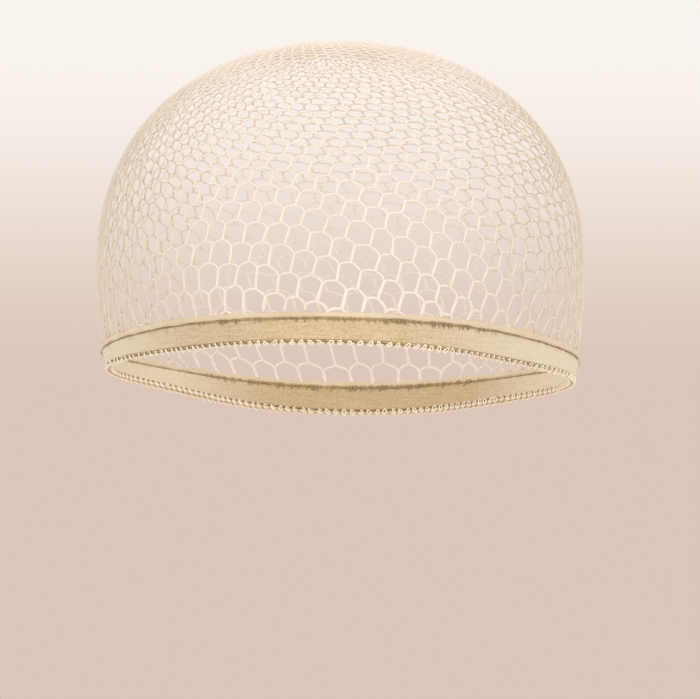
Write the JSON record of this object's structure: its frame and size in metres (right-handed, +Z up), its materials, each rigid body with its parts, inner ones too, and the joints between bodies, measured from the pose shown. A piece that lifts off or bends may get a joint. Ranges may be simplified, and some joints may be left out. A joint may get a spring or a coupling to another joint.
{
  "type": "hairnet",
  "caption": "Dome-shaped mesh hairnet of open hexagonal knitted net, with a rolled hem and a narrow elastic band that has a chain-stitched lower edge.",
  "frame": {"origin": "centre of the head opening, at the mean level of the rim, where the head goes in", "axes": "+Z up through the top of the dome, -Y to the front of the cap, +X to the right as seen from the front"},
  "size_m": [0.158, 0.186, 0.1144],
  "materials": {
    "net_thread": "soft matt nylon thread, pale cream",
    "hem_thread": "smooth rolled thread, cream",
    "knitted_elastic": "finely ribbed knitted elastic, golden beige",
    "chain_thread": "chain-stitched thread, cream"
  },
  "bodies": {
    "root": {"net_crown": "net_thread", "hem_roll": "hem_thread", "elastic_band": "knitted_elastic", "chain_edge": "chain_thread"}
  },
  "joints": []
}
